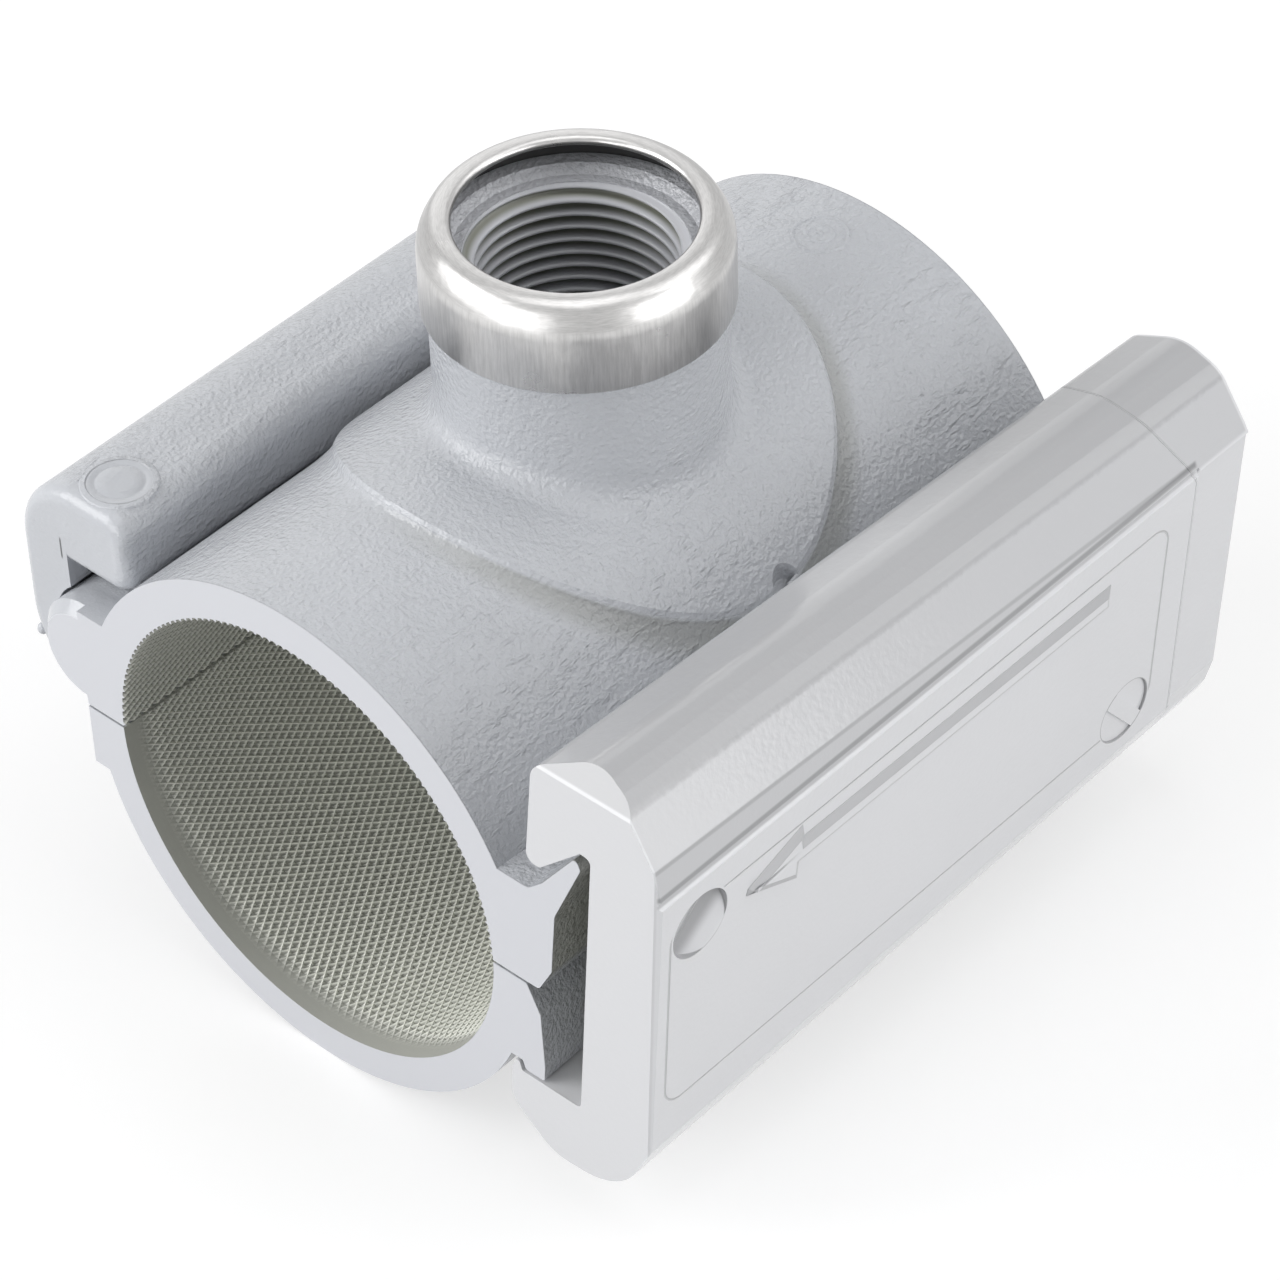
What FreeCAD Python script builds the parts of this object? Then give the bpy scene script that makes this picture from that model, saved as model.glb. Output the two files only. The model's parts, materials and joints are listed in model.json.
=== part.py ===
"""Hinged tapping saddle for plastic pressure pipe, closed on its pipe.

Frame: the origin is where the outlet's axis meets the pipe's axis, Y runs along the pipe,
X points to the locking wedge and Z points up the outlet. The wedge is driven on towards -Y.
Sections are drawn in the XZ plane as corners (x, z, rounding radius) and run along Y.
"""

import FreeCAD, Part
import math
import os
from FreeCAD import Vector

# Pipe and outlet, the sizes that the saddle is made for
PIPE_DIAMETER = 60.32
THREAD_DIAMETER = 26.50
THREAD_LENGTH = 19.0
OUTLET_PASSAGE = 20.0

# Two half barrels
SHELL_LENGTH = 100.0
UPPER_WALL = 5.1
LOWER_WALL = 4.8
SPLIT_GAP = 0.4

# Pad and neck of the outlet
PAD_GAP = 0.8
PAD_THICKNESS = 1.5
NECK_DIAMETER = 35.0
NECK_RISE = 22.54
NECK_ROOT_CHAMFER = 1.4
PAD_CHAMFER = 0.4
NOTCH_RADIUS = 2.5
NOTCH_REACH = 0.9
NOTCH_Y = 2.1
MOUTH_DIAMETER = 31.4
MOUTH_DEPTH = 0.9
MOUTH_CHAMFER = 1.2

# Steel collar over the mouth
COLLAR_WALL = 0.8
COLLAR_CLEARANCE = 0.1
COLLAR_SKIRT = 7.1
COLLAR_STAND = 4.5
COLLAR_SHOULDER = 3.1
COLLAR_OPENING = 28.4
COLLAR_LIP = 1.0
COLLAR_EASE = 0.5

# Rubber seal round the outlet hole
SEAL_INNER_DIAMETER = 27.0
SEAL_WIDTH = 4.2
SEAL_THICKNESS = 2.6
SEAL_CLEARANCE = 0.1

# Hinge on the left: a bead on the upper half, a hook on the lower half
BEAD_REACH = 0.94
BEAD_RADIUS = 7.4
BEAD_END_CHAMFER = 1.4
HINGE_CLEARANCE = 0.4
HOOK_WALL = 5.3
HOOK_HEADROOM = 13.6
HOOK_LENGTH = 93.0
HOOK_LIP_REACH = 0.17
HOOK_LIP_GAP = 2.4
HOOK_OUTER_ROUND = 10.4
HOOK_LIP_ROUND = 3.2
HOOK_RELIEF_LENGTH = 4.8
HOOK_END_ROUND = 1.8
FLANGE_DEPTH = 9.2

# Right ears, at the front end
EAR_REACH = 4.94
EAR_GROOVE_Z = 15.6
EAR_LIP_REACH = 4.3
EAR_LIP_Z = 25.0
LOWER_EAR_LENGTH = 5.1
LOWER_EAR_DEPTH = 13.6
LOWER_LIP_DEPTH = 1.3
LOWER_LIP_WIDTH = 3.1

# Wedge
WEDGE_CLEARANCE = 0.3
WEDGE_OVERHANG = 5.1
WEDGE_TOP = 39.2
WEDGE_THICKNESS = 11.7
WEDGE_SHOULDER_Z = 25.0
WEDGE_CREASE_Z = 30.2
WEDGE_FACE_LEAN = 0.055
WEDGE_SLOT_LEAN = 0.08
WEDGE_WEB = 9.9
WEDGE_BOTTOM = -26.0
WEDGE_LIP_GAP = 0.19
UPPER_TAPER = 0.048
LOWER_TAPER = 0.014
SHOULDER_GROOVE = 0.8
SHOULDER_GROOVE_STOP = 9.5
WEDGE_LEAD_RUN = 2.7
WEDGE_LEAD_FALL = 3.5
WEDGE_EDGE_CHAMFER = 0.7
END_BAND_LENGTH = 9.6
END_BAND_DEPTH = 0.3
END_BAND_CORNER_DEPTH = 0.8

# Round marks of the mould's pins in the wedge's face
PIN_MARK_RADIUS = 4.5
PIN_MARK_DEPTH = 0.6
PIN_SLOT_DEPTH = 1.8
PIN_SLOT_LEAN = 42.0
PIN_BAR_WIDTH = 2.2
PIN_BAR_LEAN = 50.0
FRONT_PIN_Y = -43.1
FRONT_PIN_Z = 17.4
BACK_PIN_Y = 35.7
BACK_PIN_Z = -7.5

BORE_R = PIPE_DIAMETER / 2
UPPER_R = BORE_R + UPPER_WALL
LOWER_R = BORE_R + LOWER_WALL
PAD_R = UPPER_R + PAD_THICKNESS
HALF = SHELL_LENGTH / 2
NECK_HEIGHT = UPPER_R + NECK_RISE
BEAD_X = -UPPER_R - BEAD_REACH
BEAD_Z = BEAD_RADIUS + SPLIT_GAP / 2
HOOK_LIP_Z = BEAD_Z + BEAD_RADIUS + HOOK_LIP_GAP
HOOK_LIP_X = HOOK_LIP_REACH - math.sqrt(UPPER_R ** 2 - HOOK_LIP_Z ** 2)
HOOK_TOP = BEAD_Z + BEAD_RADIUS + HOOK_HEADROOM
PAD_DIAMETER = -2 * (HOOK_LIP_X + PAD_GAP)
EAR_FACE_X = UPPER_R + EAR_REACH
EAR_LIP_X = EAR_FACE_X + EAR_LIP_REACH
WEDGE_FACE_X = EAR_LIP_X + WEDGE_THICKNESS
WEDGE_LIP_X = WEDGE_LIP_GAP + math.sqrt(LOWER_R ** 2 - LOWER_EAR_DEPTH ** 2)
LOWER_EAR_X = WEDGE_LIP_X + LOWER_EAR_LENGTH
FAR = 200.0


def section(corners, y):
    """Closed wire at height y along the pipe, with each corner rounded by its own radius."""
    points = [Vector(x, y, z) for x, z, _ in corners]
    radii = [radius for _, _, radius in corners]
    count = len(points)
    spans = []
    for i in range(count):
        back = (points[i - 1] - points[i]).normalize()
        ahead = (points[(i + 1) % count] - points[i]).normalize()
        if radii[i] == 0:
            spans.append((points[i], None, points[i]))
            continue
        half_angle = back.getAngle(ahead) / 2
        reach = radii[i] / math.tan(half_angle)
        centre = points[i] + (back + ahead).normalize() * (radii[i] / math.sin(half_angle))
        middle = centre + (points[i] - centre).normalize() * radii[i]
        spans.append((points[i] + back * reach, middle, points[i] + ahead * reach))
    edges = []
    for i in range(count):
        start, middle, end = spans[i]
        if middle is not None:
            edges.append(Part.Arc(start, middle, end).toShape())
        following = spans[(i + 1) % count][0]
        if end.distanceToPoint(following) > 1e-6:
            edges.append(Part.LineSegment(end, following).toShape())
    return Part.Wire(edges)


def bar(corners, y_front, y_back):
    """Straight bar along Y."""
    return Part.Face(section(corners, y_front)).extrude(Vector(0, y_back - y_front, 0))


def tapered_bar(outline, y_front, y_back):
    """Bar along Y whose outline(y) changes evenly from one end to the other."""
    ends = [section(outline(y), y) for y in (y_front, y_back)]
    return Part.makeLoft(ends, True, True)


def rod(radius, y_front, y_back, x=0, z=0):
    """Round rod along Y, with its seam level with its axis, where the halves split."""
    centre = Vector(x, y_front, z)
    body = Part.makeCylinder(radius, y_back - y_front, centre, Vector(0, 1, 0))
    body.rotate(centre, Vector(0, 1, 0), 90)
    return body


def tube(inner, outer, y_front, y_back):
    """Round tube along the pipe's axis."""
    return rod(outer, y_front, y_back).cut(rod(inner, y_front - 1, y_back + 1))


def upright(radius, z_low, z_high):
    """Round column about the outlet's axis."""
    return Part.makeCylinder(radius, z_high - z_low, Vector(0, 0, z_low))


def half_space(above, z):
    """Large box above or below the height z."""
    low = z if above else z - FAR
    return Part.makeBox(2 * FAR, 2 * FAR, FAR, Vector(-FAR, -FAR, low))


def cut_off(body, corners):
    """Body without what lies beyond the plane through three corners, on the side of its normal."""
    normal = (corners[1] - corners[0]).cross(corners[2] - corners[0])
    return body.cut(Part.makeCylinder(FAR, FAR, corners[0], normal))


def inside_wall(wall, z):
    """X of the middle of a barrel's wall at the height z."""
    return math.sqrt((BORE_R + wall / 2) ** 2 - z ** 2)


def upper_drop(y):
    """How far the tapered surfaces of the upper ear have come down at y."""
    return UPPER_TAPER * (y + HALF)


def lower_rise(y):
    """How far the tapered surfaces of the lower ear have come up at y."""
    return LOWER_TAPER * (y + HALF)


def upper_ear_corners(y):
    """Right ear of the upper half: a groove beside the barrel and an upturned lip outside it."""
    drop = upper_drop(y)
    foot = SPLIT_GAP / 2
    return [
        (inside_wall(UPPER_WALL, foot), foot, 0),
        (EAR_FACE_X - 3.0, foot, 0.8),
        (EAR_FACE_X - 0.9, foot + 4.0, 1.0),
        (EAR_FACE_X, EAR_GROOVE_Z - 2.0 - drop, 3.0),
        (EAR_LIP_X, EAR_LIP_Z - 1.6 - drop, 0.7),
        (EAR_LIP_X - 0.6, EAR_LIP_Z - drop, 0.5),
        (EAR_FACE_X - 1.7, EAR_GROOVE_Z + 2.1 - drop, 1.5),
        (EAR_FACE_X - 3.9, EAR_GROOVE_Z - drop, 1.5),
        (inside_wall(UPPER_WALL, EAR_GROOVE_Z), EAR_GROOVE_Z - drop, 0),
    ]


def lower_ear_corners(y):
    """Right ear of the lower half, with a low lip along its underside."""
    rise = lower_rise(y)
    top = -SPLIT_GAP / 2
    bottom = rise - LOWER_EAR_DEPTH
    return [
        (inside_wall(LOWER_WALL, LOWER_EAR_DEPTH), bottom, 0),
        (LOWER_EAR_X - LOWER_LIP_WIDTH - 0.4, bottom, 0.3),
        (LOWER_EAR_X - LOWER_LIP_WIDTH, bottom - LOWER_LIP_DEPTH, 0.4),
        (LOWER_EAR_X - 0.2, bottom - LOWER_LIP_DEPTH, 0.4),
        (LOWER_EAR_X, bottom + 1.0, 0.5),
        (LOWER_EAR_X - 0.3, top - 3.9, 0),
        (LOWER_EAR_X - 2.2, top, 0.3),
        (inside_wall(LOWER_WALL, top), top, 0),
    ]


def face_x(z):
    """X of the wedge's flat outer face at the height z."""
    return WEDGE_FACE_X + WEDGE_FACE_LEAN * (z - WEDGE_SHOULDER_Z)


def slot_x(z):
    """X of the slot's outer wall at the height z, leaning a little more than the face."""
    return WEDGE_FACE_X - WEDGE_WEB + WEDGE_SLOT_LEAN * (z - WEDGE_SHOULDER_Z)


def wedge_corners(y):
    """C-shaped section of the wedge at y, round the lips of both ears."""
    drop = upper_drop(y)
    rise = lower_rise(y)
    top = WEDGE_TOP - drop
    bottom = WEDGE_BOTTOM + rise
    under = EAR_LIP_Z + 1.4 - drop
    floor = rise - LOWER_EAR_DEPTH - LOWER_LIP_DEPTH - WEDGE_CLEARANCE
    tip = rise - LOWER_EAR_DEPTH - WEDGE_CLEARANCE
    hook_x = LOWER_EAR_X - LOWER_LIP_WIDTH - WEDGE_CLEARANCE - 0.1
    crease = WEDGE_CREASE_Z - 0.8 * drop
    return [
        (EAR_FACE_X - 3.8, EAR_GROOVE_Z + 4.6 - drop, 1.3),
        (EAR_FACE_X - 1.7, EAR_GROOVE_Z + 4.7 - drop, 1.0),
        (EAR_LIP_X + WEDGE_CLEARANCE, under, 0.4),
        (slot_x(under) - 0.1, under - 0.2, 0.8),
        (slot_x(floor), floor, 0.8),
        (hook_x, floor, 0.3),
        (hook_x - 0.4, tip, 0.3),
        (WEDGE_LIP_X + 0.6, tip, 0.3),
        (WEDGE_LIP_X, tip - 1.8, 1.0),
        (WEDGE_LIP_X - 0.4, bottom + 5.2, 4.5),
        (WEDGE_LIP_X + 6.0, bottom, 5.5),
        (WEDGE_FACE_X - 7.5, bottom + 0.5, 10.0),
        (face_x(bottom + 11.6) - 0.4, bottom + 10.5, 2.5),
        (WEDGE_FACE_X, WEDGE_SHOULDER_Z, 0),
        (WEDGE_FACE_X - 0.6, crease, 0.5),
        (WEDGE_FACE_X - 4.6, top - 2.0, 4.0),
        (WEDGE_FACE_X - 10.2, top, 6.0),
        (EAR_FACE_X - 2.2, top - 3.6, 3.2),
    ]


def make_upper_shell():
    """Upper half: barrel, pad, outlet neck, hinge bead and tapered ear."""
    foot = SPLIT_GAP / 2
    barrel = rod(UPPER_R, -HALF, HALF).common(half_space(True, foot))
    pad = upright(PAD_DIAMETER / 2, foot, PAD_R + 1).common(rod(PAD_R, -HALF, HALF))
    rim = [e for e in pad.Edges if e.BoundBox.ZMin > SPLIT_GAP and e.BoundBox.XLength > PAD_DIAMETER / 3]
    pad = pad.makeChamfer(PAD_CHAMFER, rim)
    notch = Part.makeCylinder(NOTCH_RADIUS, PAD_R, Vector(PAD_DIAMETER / 2 + NOTCH_REACH, NOTCH_Y, 0))
    pad = pad.cut(notch)
    neck = upright(NECK_DIAMETER / 2, foot, NECK_HEIGHT)
    body = pad.fuse(neck)
    root = [e for e in body.Edges if is_neck_root(e)]
    body = body.makeChamfer(NECK_ROOT_CHAMFER, root)
    bead = rod(BEAD_RADIUS, -HALF, HALF, BEAD_X, BEAD_Z)
    bead = bead.makeChamfer(BEAD_END_CHAMFER, [e for e in bead.Edges if e.BoundBox.YLength < 0.01])
    web_width = -BEAD_X - inside_wall(UPPER_WALL, BEAD_Z + BEAD_RADIUS)
    web = Part.makeBox(web_width, SHELL_LENGTH, 2 * BEAD_RADIUS, Vector(BEAD_X, -HALF, foot))
    ear = tapered_bar(upper_ear_corners, -HALF, HALF)
    body = barrel.fuse([body, bead, web, ear])
    body = body.cut(rod(BORE_R, -HALF - 1, HALF + 1))
    body = body.cut(outlet_hollow())
    body = body.cut(seal_ring(SEAL_CLEARANCE))
    return body.removeSplitter()


def is_neck_root(edge):
    """True for the edge where the neck's wall meets the pad."""
    box = edge.BoundBox
    radius = NECK_DIAMETER / 2
    on_wall = abs(box.XMax - radius) < 0.1 and abs(box.YMax - radius) < 0.1
    return on_wall and box.ZMin > BORE_R / 2 and box.ZMax < PAD_R + 0.5


def outlet_hollow():
    """Everything bored out of the neck: mouth recess, thread, and passage into the pipe."""
    thread_r = THREAD_DIAMETER / 2
    thread_top = NECK_HEIGHT - MOUTH_DEPTH
    hollow = upright(OUTLET_PASSAGE / 2, BORE_R - UPPER_WALL, NECK_HEIGHT + 1)
    hollow = hollow.fuse(upright(thread_r, thread_top - THREAD_LENGTH, NECK_HEIGHT + 1))
    hollow = hollow.fuse(upright(MOUTH_DIAMETER / 2 - MOUTH_CHAMFER, thread_top, NECK_HEIGHT + 1))
    lead = Part.makeCone(MOUTH_DIAMETER / 2 - MOUTH_CHAMFER, MOUTH_DIAMETER / 2, MOUTH_DEPTH,
                         Vector(0, 0, thread_top))
    return hollow.fuse(lead)


def seal_ring(clearance):
    """Ring round the outlet hole between two curved faces that follow the pipe."""
    inner = SEAL_INNER_DIAMETER / 2 - clearance
    outer = SEAL_INNER_DIAMETER / 2 + SEAL_WIDTH + clearance
    ring = upright(outer, 0, UPPER_R).cut(upright(inner, 0, UPPER_R))
    return ring.common(tube(BORE_R, BORE_R + SEAL_THICKNESS + clearance, -HALF, HALF))


def make_lower_shell():
    """Lower half: barrel, tapered ear, left flange and the hook that turns on the bead."""
    body = rod(LOWER_R, -HALF, HALF)
    ear = tapered_bar(lower_ear_corners, -HALF, HALF)
    flange = Part.makeBox(-BEAD_X - BORE_R, SHELL_LENGTH, FLANGE_DEPTH,
                          Vector(BEAD_X, -HALF, -FLANGE_DEPTH))
    body = body.fuse([ear, flange]).common(half_space(False, -SPLIT_GAP / 2))
    body = body.fuse(make_hook()).cut(rod(BORE_R, -HALF - 1, HALF + 1))
    return body.removeSplitter()


def make_hook():
    """Long hook round the bead: a round wall outside it and a thick lip that hangs over it."""
    inner = BEAD_RADIUS + HINGE_CLEARANCE
    outer = inner + HOOK_WALL
    y_front = -HOOK_LENGTH / 2
    y_back = HOOK_LENGTH / 2
    relief_x = BEAD_X - HOOK_RELIEF_LENGTH
    outline = [
        (BEAD_X, BEAD_Z - outer, 0),
        (BEAD_X - outer, BEAD_Z - outer, outer),
        (BEAD_X - outer, HOOK_TOP, HOOK_OUTER_ROUND),
        (HOOK_LIP_X, HOOK_TOP, HOOK_LIP_ROUND),
        (HOOK_LIP_X, HOOK_LIP_Z, 2.6),
        (relief_x, HOOK_LIP_Z, 0),
        (relief_x, BEAD_Z, 0),
        (BEAD_X, BEAD_Z, 0),
    ]
    hook = bar(outline, y_front, y_back)
    root = Part.makeBox(-BEAD_X - BORE_R, HOOK_LENGTH, outer - BEAD_Z, Vector(BEAD_X, y_front, BEAD_Z - outer))
    root = root.common(half_space(False, -SPLIT_GAP / 2))
    tops = [e for e in hook.Edges if is_hook_end(e)]
    hook = hook.makeFillet(HOOK_END_ROUND, tops)
    return hook.fuse(root).cut(rod(inner, y_front - 1, y_back + 1, BEAD_X, BEAD_Z))


def is_hook_end(edge):
    """True for the outer edges of the hook's two end faces, above its middle."""
    box = edge.BoundBox
    at_end = abs(abs(box.YMin) - HOOK_LENGTH / 2) < 0.01 and box.YLength < 0.01
    return at_end and box.ZMax > BEAD_Z + BEAD_RADIUS + 4 and box.XMin < HOOK_LIP_X


def end_band_relief(y_back):
    """Thin layer off the outer face behind the end band's edge, deepest at the face's lower corner."""
    corner_z = WEDGE_BOTTOM + lower_rise(y_back) + 11.4
    outline = [
        (WEDGE_FACE_X - END_BAND_DEPTH, WEDGE_SHOULDER_Z, 0),
        (face_x(corner_z) - END_BAND_CORNER_DEPTH, corner_z, 0),
        (WEDGE_FACE_X - 6.5, WEDGE_BOTTOM, 0),
        (WEDGE_FACE_X + 5.0, WEDGE_BOTTOM, 0),
        (WEDGE_FACE_X + 5.0, WEDGE_SHOULDER_Z, 0),
    ]
    return bar(outline, y_back - END_BAND_LENGTH, y_back + 1)


def make_locking_wedge():
    """Tapered C-shaped bar with a shoulder groove, and slanting cuts on its leading end."""
    y_front = -HALF - 0.2
    y_back = HALF + WEDGE_OVERHANG
    body = tapered_bar(wedge_corners, y_front, y_back)
    groove = rod(SHOULDER_GROOVE, y_front - 1, y_back - SHOULDER_GROOVE_STOP,
                 WEDGE_FACE_X + SHOULDER_GROOVE / 2, WEDGE_SHOULDER_Z)
    body = body.cut([groove, front_pin_mark(), back_pin_mark(), end_band_relief(y_back)])
    lead = [
        Vector(0, y_front, WEDGE_TOP - WEDGE_LEAD_FALL),
        Vector(WEDGE_FACE_X, y_front, WEDGE_TOP - WEDGE_LEAD_FALL),
        Vector(0, y_front + WEDGE_LEAD_RUN, WEDGE_TOP),
    ]
    front_edge = [
        Vector(WEDGE_FACE_X - WEDGE_EDGE_CHAMFER, y_front, WEDGE_SHOULDER_Z),
        Vector(face_x(0) - WEDGE_EDGE_CHAMFER, y_front, 0),
        Vector(WEDGE_FACE_X, y_front + WEDGE_EDGE_CHAMFER, WEDGE_SHOULDER_Z),
    ]
    return cut_off(cut_off(body, lead), front_edge)


def pin_disc(y, z, depth):
    """Disc that reaches a depth into the wedge's face at y, z."""
    normal = Vector(1, 0, -WEDGE_FACE_LEAN).normalize()
    foot = Vector(face_x(z), y, z) - normal * depth
    return Part.makeCylinder(PIN_MARK_RADIUS, 2 * depth, foot, normal)


def front_pin_mark():
    """Round hollow with two slopes that meet in a straight valley."""
    valley = Vector(face_x(FRONT_PIN_Z) - PIN_SLOT_DEPTH, FRONT_PIN_Y, FRONT_PIN_Z)
    reach = 2 * PIN_MARK_RADIUS
    slope = PIN_SLOT_DEPTH / PIN_MARK_RADIUS
    corners = [Vector(0, 0, 0), Vector(slope * reach, 0, reach), Vector(slope * reach, 0, -reach)]
    roof = Part.Face(Part.makePolygon(corners + corners[:1])).extrude(Vector(0, 2 * reach, 0))
    roof.translate(Vector(0, -reach, 0))
    roof.rotate(Vector(0, 0, 0), Vector(1, 0, 0), PIN_SLOT_LEAN)
    roof.translate(valley)
    return roof.common(pin_disc(FRONT_PIN_Y, FRONT_PIN_Z, PIN_SLOT_DEPTH))


def back_pin_mark():
    """Round sunk disc with a bar left standing across it."""
    reach = 2 * PIN_MARK_RADIUS
    across = Part.makeBox(FAR, 2 * reach, PIN_BAR_WIDTH, Vector(0, -reach, -PIN_BAR_WIDTH / 2))
    across.rotate(Vector(0, 0, 0), Vector(1, 0, 0), -PIN_BAR_LEAN)
    across.translate(Vector(0, BACK_PIN_Y, BACK_PIN_Z))
    return pin_disc(BACK_PIN_Y, BACK_PIN_Z, PIN_MARK_DEPTH).cut(across)


def make_outlet_collar():
    """Pressed ring: skirt round the neck, sloped shoulder, flat top and a lip turned inwards."""
    inner = NECK_DIAMETER / 2 + COLLAR_CLEARANCE
    outer = inner + COLLAR_WALL
    opening = COLLAR_OPENING / 2
    foot = NECK_HEIGHT - COLLAR_SKIRT
    top = NECK_HEIGHT + COLLAR_STAND
    knee = top - COLLAR_SHOULDER
    ease = COLLAR_EASE
    outline = [
        (inner, foot, 0),
        (outer, foot, 0),
        (outer, knee - ease / 2, 0),
        (outer - ease / 3, knee + ease, 0),
        (outer - 1.5, top - ease, 0),
        (outer - 1.8 - ease, top, 0),
        (opening + ease, top, 0),
        (opening, top - ease, 0),
        (opening, top - COLLAR_LIP, 0),
        (opening + COLLAR_WALL, top - COLLAR_LIP, 0),
        (outer - 2.0, top - COLLAR_WALL, 0),
        (inner, knee - 0.2, 0),
    ]
    face = Part.Face(section(outline, 0))
    return face.revolve(Vector(0, 0, 0), Vector(0, 0, 1), 360)


def main():
    os.makedirs("parts", exist_ok=True)
    pieces = {
        "upper_shell": make_upper_shell(),
        "lower_shell": make_lower_shell(),
        "locking_wedge": make_locking_wedge(),
        "outlet_collar": make_outlet_collar(),
        "outlet_seal": seal_ring(0),
    }
    for name, shape in pieces.items():
        shape.exportStep(f"parts/{name}.step")
        print(name, shape.isValid(), len(shape.Solids), round(shape.Volume, 1))


main()
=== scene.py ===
"""Tapping saddle dressed for its picture: knurled lining, outlet thread, moulding marks, finishes and stage.

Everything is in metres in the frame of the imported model: Y along the pipe, X towards the wedge,
Z up the outlet, origin where the axes of outlet and pipe meet.
"""

import json
import math

import bmesh
import bpy
import numpy as np
from mathutils import Matrix, Vector


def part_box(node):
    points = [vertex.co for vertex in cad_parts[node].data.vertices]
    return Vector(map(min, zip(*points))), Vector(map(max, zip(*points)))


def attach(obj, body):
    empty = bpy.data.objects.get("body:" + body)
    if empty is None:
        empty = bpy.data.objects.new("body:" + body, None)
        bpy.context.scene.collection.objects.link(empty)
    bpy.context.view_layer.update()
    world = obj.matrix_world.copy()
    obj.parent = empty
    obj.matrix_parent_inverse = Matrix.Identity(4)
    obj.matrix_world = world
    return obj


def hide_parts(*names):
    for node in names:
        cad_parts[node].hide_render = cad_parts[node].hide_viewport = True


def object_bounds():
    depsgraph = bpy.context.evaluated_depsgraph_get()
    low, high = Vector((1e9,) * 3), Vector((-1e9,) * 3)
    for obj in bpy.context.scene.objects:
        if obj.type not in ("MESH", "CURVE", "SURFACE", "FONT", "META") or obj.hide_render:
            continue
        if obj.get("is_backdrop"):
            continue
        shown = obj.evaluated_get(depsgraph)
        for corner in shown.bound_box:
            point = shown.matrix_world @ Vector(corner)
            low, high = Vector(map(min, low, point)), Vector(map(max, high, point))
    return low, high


bl_info = {
    "name": "Tapping Saddle",
    "version": (1, 0, 0),
    "blender": (4, 5, 0),
    "location": "View3D > Sidebar > Saddle",
    "description": "Dresses a tapping saddle with its lining, thread, moulding marks and finishes",
    "category": "Object",
}

MM = 0.001
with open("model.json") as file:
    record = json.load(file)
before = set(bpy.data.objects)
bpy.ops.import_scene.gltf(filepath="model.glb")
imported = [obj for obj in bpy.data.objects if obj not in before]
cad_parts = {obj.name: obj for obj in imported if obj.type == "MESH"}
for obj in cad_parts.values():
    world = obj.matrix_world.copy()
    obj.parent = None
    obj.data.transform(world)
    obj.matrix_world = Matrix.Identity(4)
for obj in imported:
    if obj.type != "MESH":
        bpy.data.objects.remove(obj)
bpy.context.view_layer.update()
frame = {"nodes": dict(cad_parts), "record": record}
MOUNTS = {mount["name"]: mount for mount in frame["record"]["mounts"]}
BORE_RADIUS = MOUNTS["pipe_bore"]["dims"]["r_mm"] * MM
SHELL_HALF = MOUNTS["pipe_bore"]["dims"]["length_mm"] * MM / 2
THREAD_RADIUS = MOUNTS["outlet_thread"]["dims"]["r_mm"] * MM
THREAD_LENGTH = MOUNTS["outlet_thread"]["dims"]["length_mm"] * MM
THREAD_TOP = MOUNTS["outlet_thread"]["pos_m"][2] + THREAD_LENGTH / 2
COLLAR_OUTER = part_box("outlet_collar")[1][0]
NECK_RADIUS = 17.5 * MM
NECK_RISE = 22.54 * MM
BARREL_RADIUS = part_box("upper_shell")[1][2] - NECK_RISE
PAD_RADIUS = 36.76 * MM
PAD_EDGE = 29.7 * MM
KNURL_RUN_IN = 2.6 * MM
THREAD_TAPER = 1 / 32

# Marks on the halves, as x and y
HOOK_PIN_PLACE = (-36.7 * MM, -40.7 * MM)
DIAL_PLACE = (0.9 * MM, 41.8 * MM)
STUB_PLACE = (-48.15 * MM, -45.85 * MM)

# The wedge's outer face: its x at z = 0, its lean, and on it the pin marks, the corners of the panel, the
# arrow's tip and the creases, as y and z or as z alone
FACE_X = 54.825 * MM
FACE_LEAN = 0.055
PIN_MARKS = ((-43.1 * MM, 17.4 * MM), (35.7 * MM, -7.5 * MM))
PIN_MARK_EDGE = 4.5 * MM
PANEL_LOW, PANEL_HIGH, PANEL_CORNER = (-48.0 * MM, -9.5 * MM), (40.6 * MM, 20.2 * MM), 3.0 * MM
ARROW_TIP, ARROW_MIDDLE = -35.4 * MM, 16.15 * MM
CREASE_Z, CREASE_DROP = 29.9 * MM, 0.0384
GROOVE_Z, SHOULDER_Z = 26.1 * MM, 25.0 * MM

CAMERA_LENS, SENSOR_WIDTH = 145.02, 36.0
CAMERA_PLACE = (0.32360, -0.33771, 0.41738)
CAMERA_TURN = ((0.74543213, -0.43176805, 0.50784574),
               (0.66610941, 0.51116972, -0.54314249),
               (-0.02508379, 0.74315669, 0.66864709))
FLOOR_HALF, FLOOR_GREY, FLOOR_GLOW = 2.0, 0.5, 0.58
WORLD_COLOUR, WORLD_STRENGTH = (0.98, 0.985, 1.0, 1), 0.18
LAMP_SIZE = 0.8
LAMP_AIM = (0.0, 0.0, 0.01)
LAMPS = [
    ("left", (-0.75, -0.80, 0.55), 9.2),
    ("front", (0.0, -1.10, 0.12), 6.2),
    ("right", (1.05, 0.25, 0.15), 6.8),
    ("top", (0.0, 0.0, 1.10), 2.7),
    ("back_right", (0.55, 0.60, 0.75), 3.1),
    ("back_left", (-0.85, 0.55, 0.45), 1.4),
]


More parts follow.
